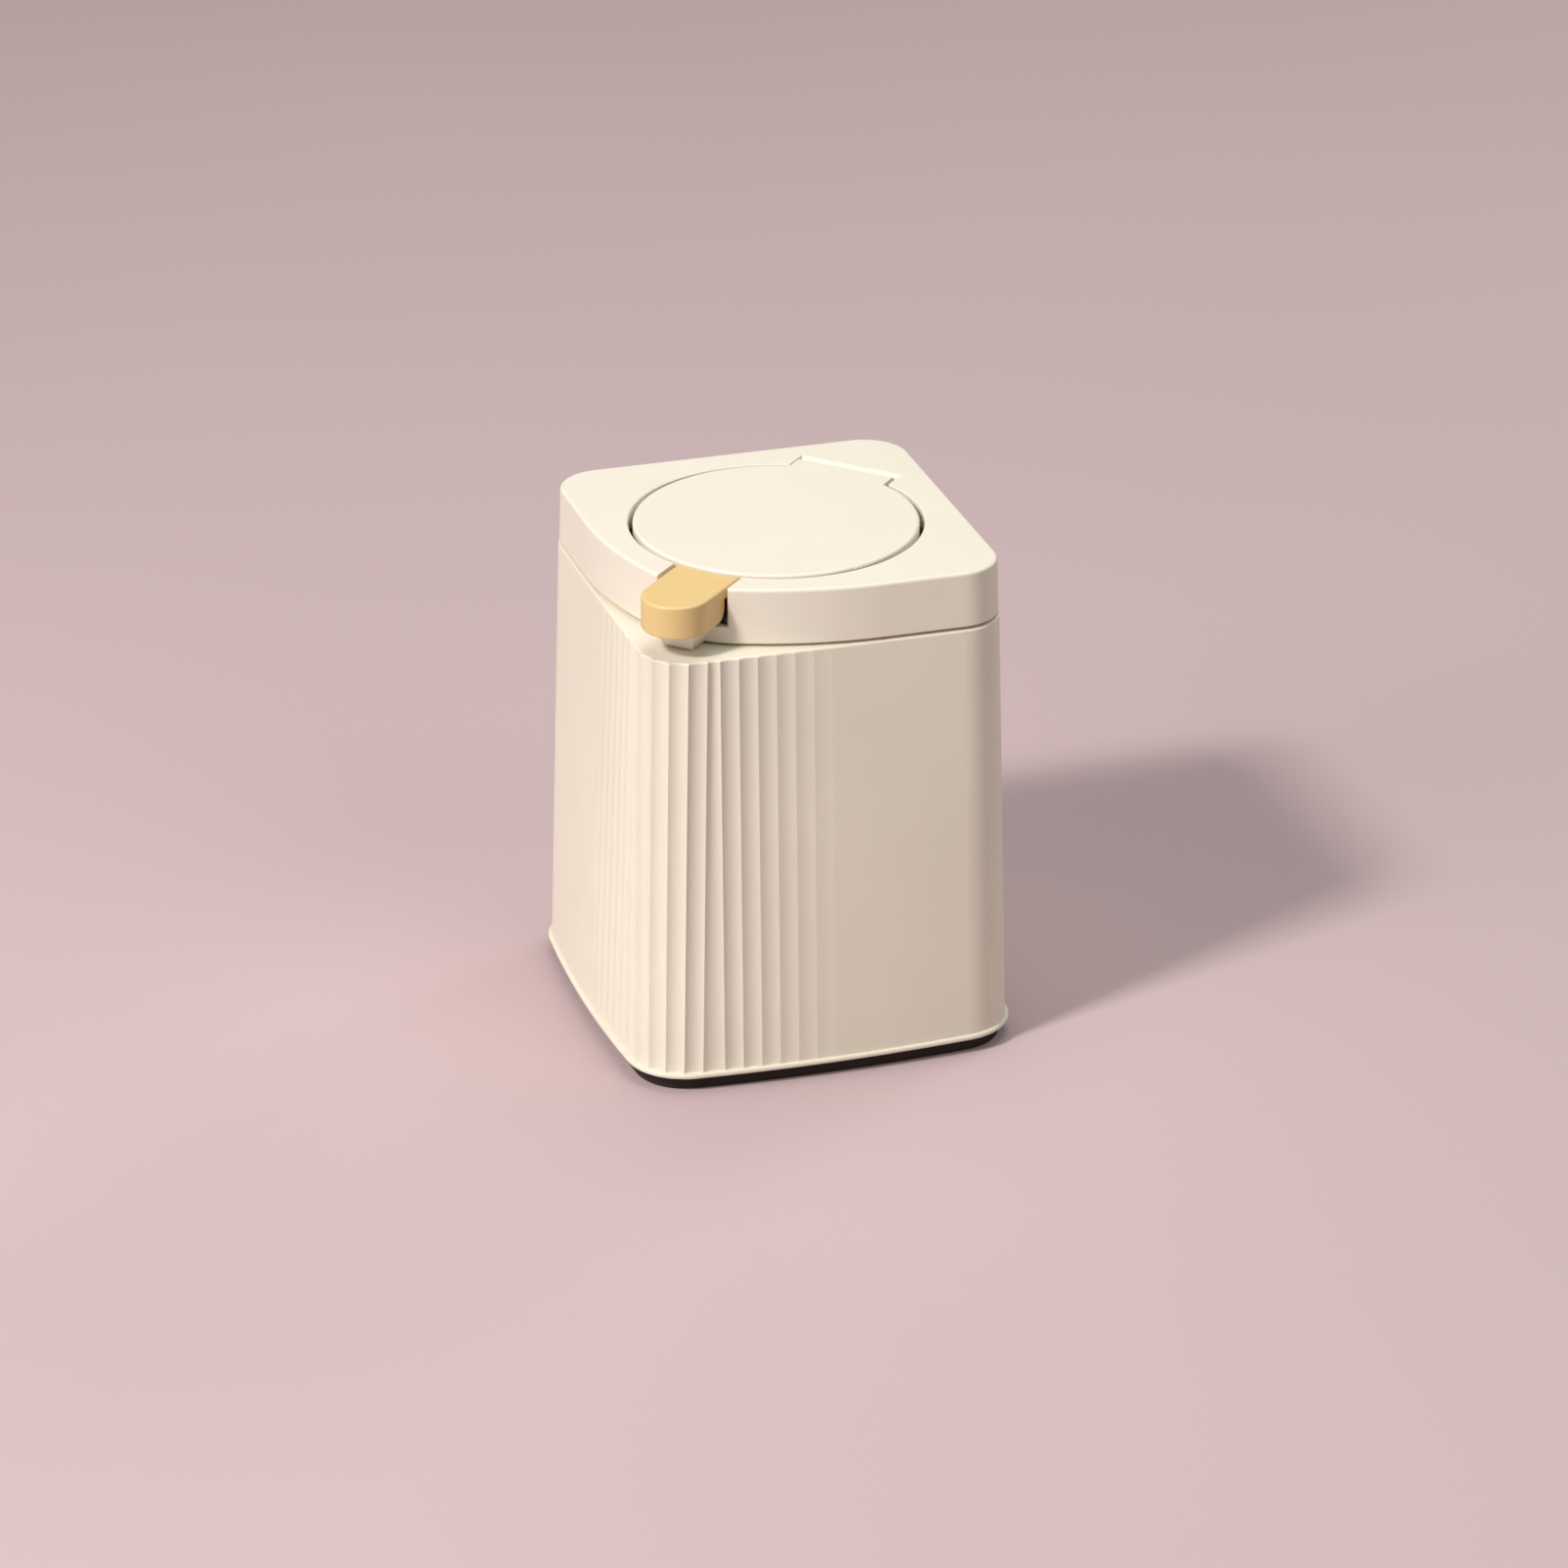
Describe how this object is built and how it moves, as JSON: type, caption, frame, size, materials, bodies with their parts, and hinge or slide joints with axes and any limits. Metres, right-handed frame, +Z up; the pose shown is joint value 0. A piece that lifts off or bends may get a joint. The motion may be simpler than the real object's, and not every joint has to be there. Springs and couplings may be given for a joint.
{
  "type": "lidded trash can",
  "caption": "Small square countertop bin with a fluted corner, a lift-off lid, a round flap that springs open and a thumb button that releases it.",
  "frame": {"origin": "middle of the base, on the surface that the bin stands on", "axes": "+Z up; faces along X and Y; button at the (-X, -Y) corner, flap hinge at the (+X, +Y) corner"},
  "size_m": [0.1278, 0.1278, 0.1612],
  "materials": {
    "body_cream": "satin moulded, warm cream",
    "lid_cream": "semi-gloss moulded, warm cream",
    "inner_cream": "moulded, plain",
    "button_yellow": "satin moulded, mustard yellow",
    "dark_lever": "slippery moulded plastic, dark brown",
    "plinth_dark": "matt moulded, dark brown",
    "foot_rubber": "matt",
    "seal_rubber": "soft, matt",
    "steel": "drawn wire and pin stock",
    "screw_steel": "zinc plated"
  },
  "bodies": {
    "bin": {"body_shell": "body_cream", "base_plate": "body_cream", "plinth_ring": "plinth_dark", "foot_pad_front": "foot_rubber", "foot_pad_left": "foot_rubber", "foot_pad_right": "foot_rubber", "foot_pad_back": "foot_rubber"},
    "lid": {"lid_cover": "lid_cream", "lid_frame": "inner_cream", "lid_screws": "screw_steel", "hinge_pin": "steel", "flap_spring": "steel", "button_pin": "steel", "button_spring": "steel"},
    "flap": {"flap_cover": "lid_cream", "flap_inner_panel": "inner_cream", "flap_screws": "screw_steel", "flap_seal": "seal_rubber"},
    "button": {"button_cap": "button_yellow", "button_lever": "dark_lever", "lever_screw": "screw_steel"}
  },
  "joints": [
    {"name": "lid_lift", "type": "slide", "parent": "bin", "child": "lid", "axis": [0, 0, 1], "range_m": [0, 0.04]},
    {"name": "flap_hinge", "type": "hinge", "parent": "lid", "child": "flap", "pos_m": [0.03281, 0.03281, 0.1582], "axis": [-0.7071, 0.7071, 0], "range_deg": [0, 85]},
    {"name": "button_press", "type": "hinge", "parent": "lid", "child": "button", "pos_m": [-0.03571, -0.03571, 0.1487], "axis": [0.7071, -0.7071, 0], "range_deg": [0, 8], "stiffness_Nm_per_rad": 0.4, "springref_deg": -5.73, "deforming": ["button_spring"]}
  ]
}
